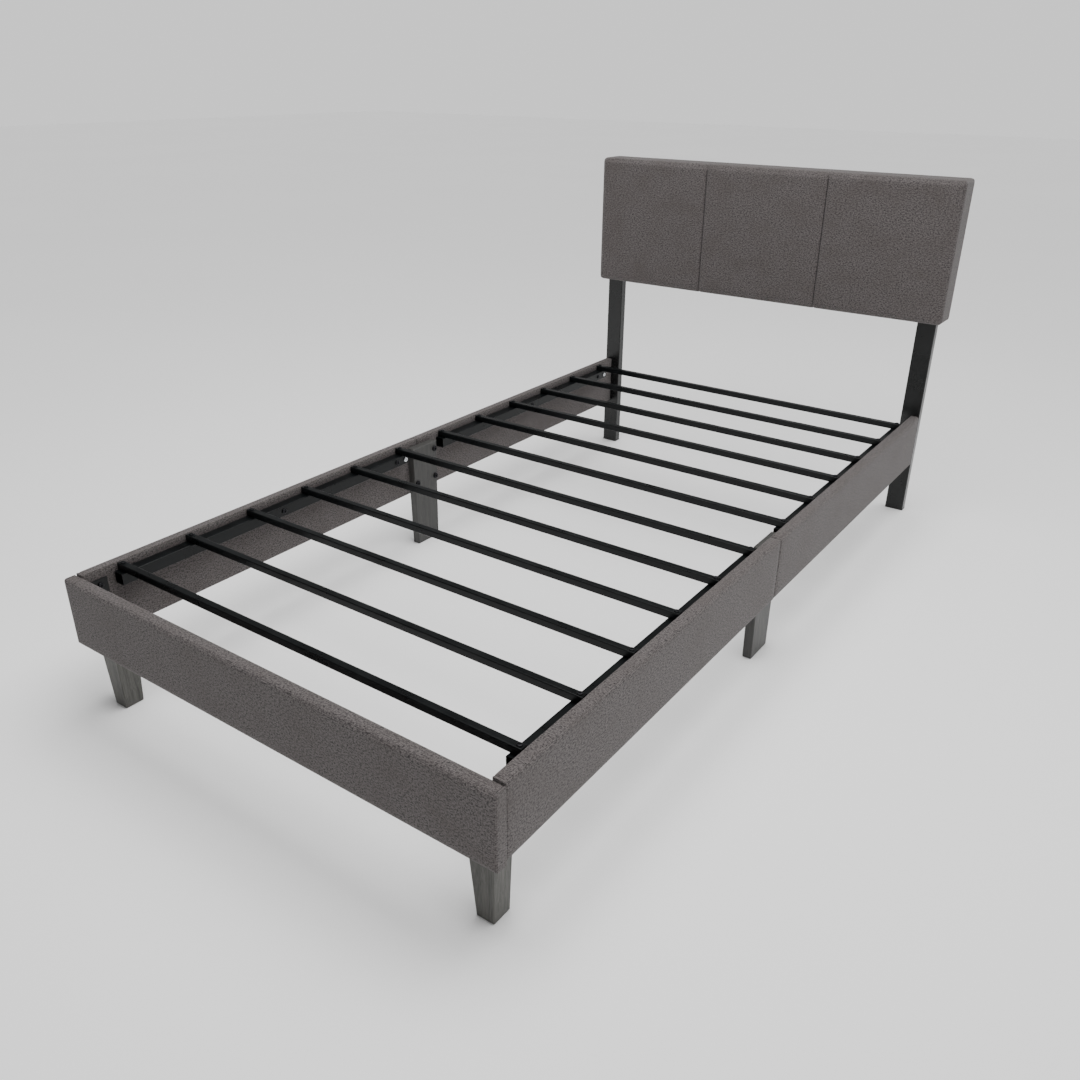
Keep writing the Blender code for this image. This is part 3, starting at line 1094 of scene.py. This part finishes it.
@dataclass
class SeamStitches:
    """A row of thread stitches in a seam of the headboard.

    Attributes:
        name: Name of the piece.
        x: Place of the seam.
        headboard: The headboard that it is sewn into.
        pitch: Distance from one stitch to the next.
        length: Length of a stitch.
        radius: Radius of the thread.
        sunk: How far behind the front face the thread lies.
        bare: Length without thread at each end of the seam.
        taper: Scale of a stitch's end faces along X, Y and Z.
    """

    name: str
    x: float
    headboard: Headboard
    pitch: float = 4.4 * MM
    length: float = 3.0 * MM
    radius: float = 0.6 * MM
    sunk: float = 0.9 * MM
    bare: float = 14 * MM
    taper: Size = (0.55, 0.55, 1.15)

    def build(self, finishes: Finishes) -> Object:
        """Makes one stitch and copies it along the seam.

        Args:
            finishes: The bed's finishes.

        Returns:
            The finished piece.
        """
        board = self.headboard
        y = board.low.y + self.sunk
        bpy.ops.object.select_all(action="DESELECT")
        bpy.ops.mesh.primitive_cylinder_add(
            vertices=8, radius=self.radius, depth=self.length, location=(self.x, y, 0)
        )
        stitch = bpy.context.object
        edit(stitch)
        select(stitch, "FACE", lambda f: len(f.verts) > 4)
        bpy.ops.mesh.extrude_region_move()
        bpy.ops.transform.resize(value=self.taper)
        leave()
        bpy.ops.object.transform_apply(location=True, rotation=True, scale=True)
        low, high = board.low.z + self.bare, board.high.z - self.bare
        count = int((high - low) / self.pitch)
        array = stitch.modifiers.new("row", "ARRAY")
        array.count = count
        array.use_relative_offset = False
        array.use_constant_offset = True
        array.constant_offset_displace = (0, 0, self.pitch)
        apply_modifiers(stitch)
        stitch.name = self.name
        for vert in stitch.data.vertices:
            vert.co.z += low + self.pitch / 2
        shade(stitch, 40)
        return finish_piece(stitch, finishes.thread)


# --- Fasteners ---------------------------------------------------------------


class Drive(Enum):
    """The recess in a screw's head."""

    HEX = 6
    CROSS = 4


@dataclass
class Fastener:
    """A pan head bolt or screw with a drive recess, modelled once and copied.

    Attributes:
        name: Name of the first model.
        head_radius: Radius of the head.
        head_height: Height of the head.
        shank_radius: Radius of the shank.
        length: Length of the shank under the head.
        drive: The recess.
        sides: Sides of the head and the shank.
        edge: Radius of the head's edge, as a share of its height.
        drive_radius: Radius of the recess, as a share of the head's.
        drive_depth: Its depth, as a share of the head's height.
        arm: Length and width of a cross's arm, in radii of the recess.
    """

    name: str
    head_radius: float
    head_height: float
    shank_radius: float
    length: float
    drive: Drive = Drive.HEX
    sides: int = 24
    edge: float = 0.55
    drive_radius: float = 0.42
    drive_depth: float = 0.6
    arm: tuple[float, float] = (2.4, 0.5)

    def model(self) -> Object:
        """Makes the bolt at the origin, with its head on the plane z = 0, pointing down.

        Returns:
            The model to copy.
        """
        bpy.ops.object.select_all(action="DESELECT")
        bpy.ops.mesh.primitive_cylinder_add(
            vertices=self.sides,
            radius=self.head_radius,
            depth=self.head_height,
            location=(0, 0, self.head_height / 2),
        )
        obj = bpy.context.object
        obj.name = self.name
        bpy.ops.object.transform_apply(location=True, rotation=True, scale=True)
        edit(obj)
        select(obj, "EDGE", lambda e: all(v.co.z > self.head_height - SAME for v in e.verts))
        bpy.ops.mesh.bevel(offset=self.head_height * self.edge, segments=4, profile=0.5)
        bpy.ops.mesh.select_all(action="DESELECT")
        select(obj, "FACE", lambda f: f.normal.z < -0.9 and len(f.verts) > 4)
        bpy.ops.mesh.inset(thickness=self.head_radius - self.shank_radius)
        bpy.ops.mesh.extrude_region_move(TRANSFORM_OT_translate={"value": (0, 0, -self.length)})
        leave()
        self.sink_drive(obj)
        shade(obj, 35)
        return obj

    def sink_drive(self, obj: Object) -> None:
        """Cuts the hexagon or cross out of the head.

        Args:
            obj: The bolt.
        """
        size = self.head_radius * self.drive_radius
        depth = self.head_height * self.drive_depth
        top = self.head_height
        bpy.ops.object.select_all(action="DESELECT")
        if self.drive is Drive.HEX:
            bpy.ops.mesh.primitive_cylinder_add(
                vertices=6, radius=size, depth=depth * 2, location=(0, 0, top)
            )
            tools = [bpy.context.object]
        else:
            tools = []
            length, width = self.arm
            # The arms' depths differ a little, so that no two faces lie in one plane.
            for turn, deep in ((0, 1.98), (math.pi / 2, 2.0)):
                bpy.ops.mesh.primitive_cube_add(
                    size=1.0, location=(0, 0, top), rotation=(0, 0, turn)
                )
                bar = bpy.context.object
                bar.scale = (size * length, size * width, depth * deep)
                tools.append(bar)
        for tool in tools:
            modifier = obj.modifiers.new("drive", "BOOLEAN")
            modifier.operation = "DIFFERENCE"
            modifier.solver = "EXACT"
            modifier.object = tool
        apply_modifiers(obj)
        for tool in tools:
            bpy.data.objects.remove(tool, do_unlink=True)

    def place(
        self, model: Object, name: str, seat: Vector, inward: Vector, turn: float
    ) -> Object:
        """Copies the model to a seat.

        Args:
            model: The modelled bolt.
            name: Name of the copy.
            seat: Where the head rests.
            inward: Direction of the shank.
            turn: Turn of the drive about the shank, in radians.

        Returns:
            The copy, with its place in its own mesh.
        """
        copy = bpy.data.objects.new(name, model.data.copy())
        bpy.context.scene.collection.objects.link(copy)
        aim = (-inward).to_track_quat("Z", "Y").to_matrix().to_4x4()
        copy.data.transform(Matrix.Translation(seat) @ aim @ Matrix.Rotation(turn, 4, "Z"))
        return copy


@dataclass
class FrameBolts:
    """The bolts that stand for the CAD's bolts, each with a hexagon recess.

    Attributes:
        head_radius: Radius of the head.
        head_height: Height of the head.
        shank_radius: Radius of the shank.
        cad_head: Height of the head of the CAD's bolt.
        turn: Turn of the recess from one bolt to the next, in radians.
    """

    head_radius: float = 7.6 * MM
    head_height: float = 4.3 * MM
    shank_radius: float = 3.9 * MM
    cad_head: float = 4.5 * MM
    turn: float = 0.7

    def build(self, finishes: Finishes) -> None:
        """Replaces every CAD bolt with a detailed one.

        Args:
            finishes: The bed's finishes.
        """
        models: dict[int, tuple[Fastener, Object]] = {}
        names = [name for name in sorted(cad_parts) if "_bolt_" in name]
        for number, name in enumerate(names):
            low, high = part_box(name)
            along = max(range(3), key=lambda i: high[i] - low[i])
            inward = Vector((0, 0, 0))
            centre = (low + high) / 2
            seat = centre.copy()
            sign = -1.0 if along == 1 else math.copysign(1.0, centre.x)
            inward[along] = sign
            outer = low[along] if sign > 0 else high[along]
            seat[along] = outer + sign * self.cad_head
            length = high[along] - low[along] - self.cad_head
            key = round(length / MM)
            if key not in models:
                sizes = (self.head_radius, self.head_height, self.shank_radius, length)
                bolt = Fastener("bolt_model", *sizes)
                models[key] = (bolt, bolt.model())
            bolt, model = models[key]
            piece = bolt.place(model, f"{name}_detailed", seat, inward, number * self.turn)
            bright = name.startswith("middle_leg_bolt") and name.endswith("_2")
            finish = finishes.zinc if bright else finishes.black_oxide
            finish_piece(piece, finish, (name,))
        for _, model in models.values():
            bpy.data.objects.remove(model, do_unlink=True)


@dataclass
class SlatScrews:
    """One cross head screw at each end of each slat, down into the support tube.

    Attributes:
        x: Distance of the screws from the middle of the bed.
        sizes: Head's radius and height, and shank's radius and length.
        sides: Sides of the head.
        raised: Gap between the head and the slat.
        turn: Turn of the cross from one screw to the next, in radians.
    """

    x: float = 0.483
    sizes: tuple[float, ...] = (5.2 * MM, 2.4 * MM, 2.0 * MM, 18 * MM)
    sides: int = 16
    raised: float = 0.1 * MM
    turn: float = 0.9

    def build(self, finishes: Finishes) -> None:
        """Models one screw and copies it to every slat's ends.

        Args:
            finishes: The bed's finishes.
        """
        screw = Fastener("slat_screw_model", *self.sizes, Drive.CROSS, self.sides)
        model = screw.model()
        slats = [name for name in sorted(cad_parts) if name.startswith("slat_")]
        for number, name in enumerate(slats):
            low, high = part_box(name)
            for side, sign in SIDES:
                seat = Vector((sign * self.x, (low.y + high.y) / 2, high.z + self.raised))
                turn = (number * 2 + sign) * self.turn
                name_here = f"{name}_screw_{side}"
                piece = screw.place(model, name_here, seat, Vector((0, 0, -1)), turn)
                finish_piece(piece, finishes.black_oxide)
        bpy.data.objects.remove(model, do_unlink=True)


@dataclass
class TubeBolts:
    """Bolts through the support tubes' inner faces into the rails.

    Attributes:
        front: Places on a front tube, from the footboard's outer face.
        rear: Places on a rear tube.
        bright: The bright zinc ones among them.
        height: Height above the floor.
        sizes: Head's radius and height, and shank's radius and length.
        raised: Gap between the head and the tube.
        turn: Turn of the recess from one bolt to the next, in radians.
    """

    front: tuple[float, ...] = (0.131, 0.4963, 0.8665, 0.8963)
    rear: tuple[float, ...] = (1.0902, 1.452, 1.8154, 1.8488)
    bright: tuple[float, ...] = (0.8963, 1.8488)
    height: float = 0.2578
    sizes: tuple[float, ...] = (6.2 * MM, 3.0 * MM, 2.6 * MM, 20 * MM)
    raised: float = 0.1 * MM
    turn: float = 0.5

    def build(self, finishes: Finishes) -> None:
        """Models one bolt and copies it along the tubes.

        Args:
            finishes: The bed's finishes.
        """
        bolt = Fastener("tube_bolt_model", *self.sizes)
        model = bolt.model()
        foot = CAD_BOX[0].y
        for side, sign in SIDES:
            for half, places in (("front", self.front), ("rear", self.rear)):
                low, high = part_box(f"support_tube_{side}_{half}")
                inner = low.x if sign > 0 else high.x
                for number, place in enumerate(places, start=1):
                    seat = Vector((inner - sign * self.raised, foot + place, self.height))
                    name = f"support_tube_bolt_{side}_{half}_{number}"
                    turn = number * self.turn
                    piece = bolt.place(model, name, seat, Vector((sign, 0, 0)), turn)
                    finish = finishes.zinc if place in self.bright else finishes.black_oxide
                    finish_piece(piece, finish)
        bpy.data.objects.remove(model, do_unlink=True)


@dataclass
class BracketBolts:
    """Bolts through the flanges of the front corner brackets.

    Attributes:
        out: Distance from the corner.
        height: Height above the floor.
        plate: Thickness of the flange and the gap under the head.
        sizes: Head's radius and height, and shank's radius and length.
        turn: Turn of the recess, in radians.
    """

    out: float = 0.030
    height: float = 0.2545
    plate: float = 3.1 * MM
    sizes: tuple[float, ...] = (6.2 * MM, 3.0 * MM, 3.0 * MM, 16 * MM)
    turn: float = 0.4

    def build(self, finishes: Finishes) -> None:
        """Models one bolt and copies it to each flange.

        Args:
            finishes: The bed's finishes.
        """
        bolt = Fastener("bracket_bolt_model", *self.sizes)
        model = bolt.model()
        for side, sign in SIDES:
            low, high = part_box(f"front_bracket_{side}")
            outer = high.x if sign > 0 else low.x
            ways = {
                "rail": (self.plate, self.out, (sign, 0, 0)),
                "footboard": (self.out, self.plate, (0, -1, 0)),
            }
            for kind, (in_x, in_y, way) in ways.items():
                seat = Vector((outer - sign * in_x, low.y + in_y, self.height))
                name = f"front_bracket_bolt_{side}_{kind}"
                piece = bolt.place(model, name, seat, Vector(way), self.turn)
                finish_piece(piece, finishes.black_oxide)
        bpy.data.objects.remove(model, do_unlink=True)


# --- CAD nodes that stay -----------------------------------------------------


@dataclass
class KeptNodes:
    """CAD nodes whose shape is right: they get a finish and nothing else."""

    def dress(self, finishes: Finishes) -> None:
        """Assigns a finish to each node by its name.

        Args:
            finishes: The bed's finishes.
        """
        rules = (
            ("slat_", finishes.steel),
            ("support_tube_", finishes.steel),
            ("front_bracket_", finishes.steel),
            ("rear_post_", finishes.post_steel),
            ("post_foot_plug_", finishes.plastic),
            ("middle_leg_", finishes.leg_paint),
            ("front_leg_", finishes.leg_wood),
            ("headboard_back", finishes.dust_cloth),
            ("headboard_foam", finishes.foam),
            ("", finishes.board),
        )
        for name, node in sorted(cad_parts.items()):
            finish = next(finish for start, finish in rules if name.startswith(start))
            for slot in node.material_slots:
                slot.material = finish
            LOG.info("%s: %s", name, finish.name)


# --- Studio ------------------------------------------------------------------


@dataclass
class Studio:
    """A white floor, soft light from above and the camera.

    Attributes:
        camera: The camera's place.
        pitch: Degrees that it looks below the horizon.
        yaw: Degrees that it looks to the left of the bed's length.
        roll: Degrees that it leans.
        lens: Focal length for a 36 mm sensor.
        backdrop: Brightness of the surround near the floor.
        room: Brightness of the surround above it.
        horizon: Heights of the heading between which one turns into the other.
        sky: Strength of the even light from above.
        sky_angle: Degrees that it spreads over.
        sky_tilt: Degrees that it leans about X and Y.
        floor_size: Length of the floor's side.
        floor_gap: Gap between the floor and the feet.
    """

    camera: tuple[float, float, float] = (1.1575, -1.7928, 1.1638)
    pitch: float = 25.98
    yaw: float = 35.34
    roll: float = 0.42
    lens: float = 32.40
    backdrop: float = 0.99
    room: float = 0.16
    horizon: tuple[float, float] = (0.10, 0.36)
    sky: float = 2.5
    sky_angle: float = 64
    sky_tilt: tuple[float, float] = (-16, 10)
    floor_size: float = 40
    floor_gap: float = 0.0002

    def build(self) -> None:
        """Builds the floor, the lights and the camera."""
        self.add_floor()
        self.add_world()
        self.add_light("overhead_softbox", (0.2, -0.2, 2.6), (0.0, 0.6, 0.2), 2.2, 52)
        self.add_light("right_softbox", (3.0, -1.5, 1.3), (0.5, -0.7, 0.2), 1.6, 4.5)
        self.add_sky_light()
        self.add_camera()

    def add_sky_light(self) -> None:
        """Adds an even, very soft light from above, so that the floor is lit alike all over."""
        data = bpy.data.lights.new("ceiling_bounce", "SUN")
        data.energy = self.sky
        data.angle = math.radians(self.sky_angle)
        light = bpy.data.objects.new("ceiling_bounce", data)
        light.location = (0.0, 0.0, 5.0)
        lean_x, lean_y = (math.radians(angle) for angle in self.sky_tilt)
        light.rotation_euler = (lean_x, lean_y, 0.0)
        bpy.context.scene.collection.objects.link(light)

    def add_floor(self) -> None:
        """Adds a wide pale floor just under the bed's feet."""
        bpy.ops.object.select_all(action="DESELECT")
        height = CAD_BOX[0].z - self.floor_gap
        bpy.ops.mesh.primitive_plane_add(size=self.floor_size, location=(0, 0, height))
        floor = bpy.context.object
        floor.name = "studio_floor"
        values = {"Roughness": 1.0, "Specular IOR Level": 0.0}
        material, tree, shader = new_material("matte_white_studio_paint", values)
        place = add_node(tree, "ShaderNodeTexCoord", output="Object")
        tone = Pattern(evenly(1.5)).build(tree, place)
        connect(tree, shader, {"Base Color": lay_colours(tree, "fafafa", [(tone, None, "ffffff")])})
        floor.data.materials.append(material)

    def add_world(self) -> None:
        """Adds a surround that is pale near the floor and dim above it."""
        world = bpy.data.worlds.new("studio_surround")
        bpy.context.scene.world = world
        world.use_nodes = True
        tree = world.node_tree
        heading = add_node(tree, "ShaderNodeTexCoord", output="Generated")
        rise = add_node(tree, "ShaderNodeSeparateXYZ", {0: heading}, "Z")
        limits = span(*self.horizon, (self.backdrop, self.room))
        strength = add_node(tree, "ShaderNodeMapRange", {"Value": rise, **limits})
        inputs = {"Color": (1.0, 1.0, 1.0, 1.0), "Strength": strength}
        connect(tree, tree.nodes["Background"], inputs)

    def add_light(self, name: str, place: Size, aim: Size, size: float, power: float) -> None:
        """Adds a square soft light.

        Args:
            name: The light's name.
            place: Where it hangs.
            aim: Where it points.
            size: Length of its side.
            power: Watts.
        """
        data = bpy.data.lights.new(name, "AREA")
        data.shape = "SQUARE"
        data.size = size
        data.energy = power
        light = bpy.data.objects.new(name, data)
        light.location = place
        light.rotation_euler = (Vector(aim) - Vector(place)).to_track_quat("-Z", "Y").to_euler()
        bpy.context.scene.collection.objects.link(light)

    def add_camera(self) -> None:
        """Adds the camera and makes it the scene's."""
        data = bpy.data.cameras.new("camera")
        data.lens = self.lens
        data.sensor_width = 36.0
        camera = bpy.data.objects.new("camera", data)
        turn = Matrix.Rotation(math.radians(self.yaw), 4, "Z")
        tilt = Matrix.Rotation(math.radians(90 - self.pitch), 4, "X")
        lean = Matrix.Rotation(math.radians(self.roll), 4, "Z")
        camera.matrix_world = Matrix.Translation(self.camera) @ turn @ tilt @ lean
        bpy.context.scene.collection.objects.link(camera)
        bpy.context.scene.camera = camera


def main() -> None:
    """Builds the visual model in order."""
    logging.basicConfig(level=logging.INFO, format="%(name)s %(message)s")
    finishes = Finishes()
    KeptNodes().dress(finishes)
    for side, sign in SIDES:
        for half, swell in (("front", 0.8 * MM), ("rear", 1.5 * MM)):
            name = f"rail_{side}_{half}"
            nodes = (f"{name}_cover",)
            rail = FoldedBoard(f"{name}_upholstery", nodes, (0, sign), 1, swell=swell)
            rail.build(finishes)
    nodes = ("footboard_cover",)
    footboard = FoldedBoard("footboard_upholstery", nodes, (1, -1), 0, soft_radius=7 * MM)
    footboard.build(finishes)
    headboard = Headboard(
        "headboard_upholstery",
        ("headboard_cover", "headboard_foam"),
        (1, -1),
        0,
        soft_radius=12 * MM,
        side_radius=12 * MM,
        crisp_radius=3 * MM,
        corner_radius=11 * MM,
        swell=2.0 * MM,
        cap=4.0 * MM,
        step=11 * MM,
    )
    headboard.build(finishes)
    for side, x in zip(("left", "right"), headboard.seams):
        SeamStitches(f"headboard_stitches_{side}", x, headboard).build(finishes)
    FrameBolts().build(finishes)
    SlatScrews().build(finishes)
    TubeBolts().build(finishes)
    BracketBolts().build(finishes)
    Studio().build()


if __name__ == "__main__":
    main()
